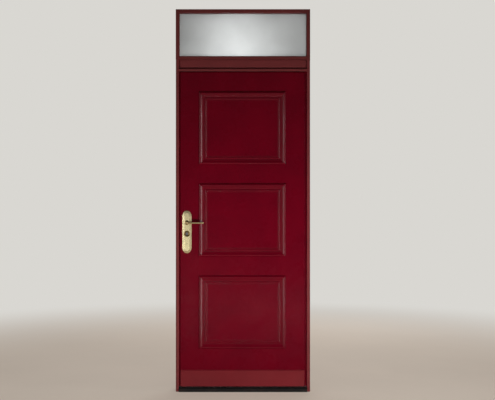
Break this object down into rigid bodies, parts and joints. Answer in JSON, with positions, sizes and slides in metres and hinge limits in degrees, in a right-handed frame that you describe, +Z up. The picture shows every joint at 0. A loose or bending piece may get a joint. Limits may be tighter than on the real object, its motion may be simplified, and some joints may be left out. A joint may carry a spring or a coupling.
{
  "type": "security door",
  "caption": "Steel entrance door with raised panel mouldings, lever handles and kick plate, in a steel frame with a fixed light above.",
  "frame": {"origin": "underside of the threshold at floor level, in the middle of the frame's width and depth", "axes": "+X to the right as seen from outside, towards the hinges, +Y from outside into the room, +Z up"},
  "size_m": [0.875, 0.159, 2.49],
  "materials": {
    "leaf_paint": "satin wine-red paint",
    "kick_paint": "satin wine-red paint, slightly paler",
    "frame_paint": "satin red-brown paint",
    "transom_paint": "satin dark red-brown paint",
    "hinge_paint": "satin dark red paint",
    "black_aluminium": "black anodised",
    "seal_rubber": "matte black",
    "frosted_glass": "frosted laminated",
    "brass_plate": "satin pale brass",
    "polished_brass": "polished",
    "bronze": "dark bronze",
    "steel": "satin"
  },
  "bodies": {
    "frame": {"hinge_jamb": "frame_paint", "hinge_jamb_web": "frame_paint", "lock_jamb": "frame_paint", "lock_jamb_web": "frame_paint", "frame_head": "frame_paint", "header_panel": "frame_paint", "head_stop": "frame_paint", "threshold": "black_aluminium", "transom_head": "transom_paint", "transom_sill": "transom_paint", "transom_left_stile": "transom_paint", "transom_right_stile": "transom_paint", "transom_glass": "frosted_glass", "top_glazing_bead": "transom_paint", "right_glazing_bead": "transom_paint", "bottom_glazing_bead": "transom_paint", "left_glazing_bead": "transom_paint", "side_seals": "seal_rubber", "head_seal": "seal_rubber", "keeps": "steel", "lower_frame_hinge": "hinge_paint", "middle_frame_hinge": "hinge_paint", "upper_frame_hinge": "hinge_paint"},
    "leaf": {"leaf_core": "leaf_paint", "outer_facing": "leaf_paint", "inner_facing": "leaf_paint", "kick_plate": "kick_paint", "upper_moulding": "leaf_paint", "middle_moulding": "leaf_paint", "lower_moulding": "leaf_paint", "lock_faceplate": "steel", "latch_bolt": "steel", "deadbolts": "steel", "outer_backplate": "brass_plate", "inner_backplate": "brass_plate", "cylinder_guard": "bronze", "inner_cylinder_guard": "bronze", "lock_cylinder": "steel", "lower_leaf_hinge": "hinge_paint", "middle_leaf_hinge": "hinge_paint", "upper_leaf_hinge": "hinge_paint"},
    "levers": {"outer_lever": "polished_brass", "inner_lever": "polished_brass", "spindle": "steel"},
    "cylinder": {"key_plug": "steel"}
  },
  "joints": [
    {"name": "door_swing", "type": "hinge", "parent": "frame", "child": "leaf", "pos_m": [0.4175, 0.034, 0], "axis": [0, 0, -1], "range_deg": [0, 95]},
    {"name": "lever_turn", "type": "hinge", "parent": "leaf", "child": "levers", "pos_m": [-0.365, 0, 1.1], "axis": [0, 1, 0], "range_deg": [0, 40], "stiffness_Nm_per_rad": 1, "springref_deg": -34.38},
    {"name": "cylinder_turn", "type": "hinge", "parent": "leaf", "child": "cylinder", "pos_m": [-0.365, 0, 1.028], "axis": [0, 1, 0], "continuous": true}
  ]
}
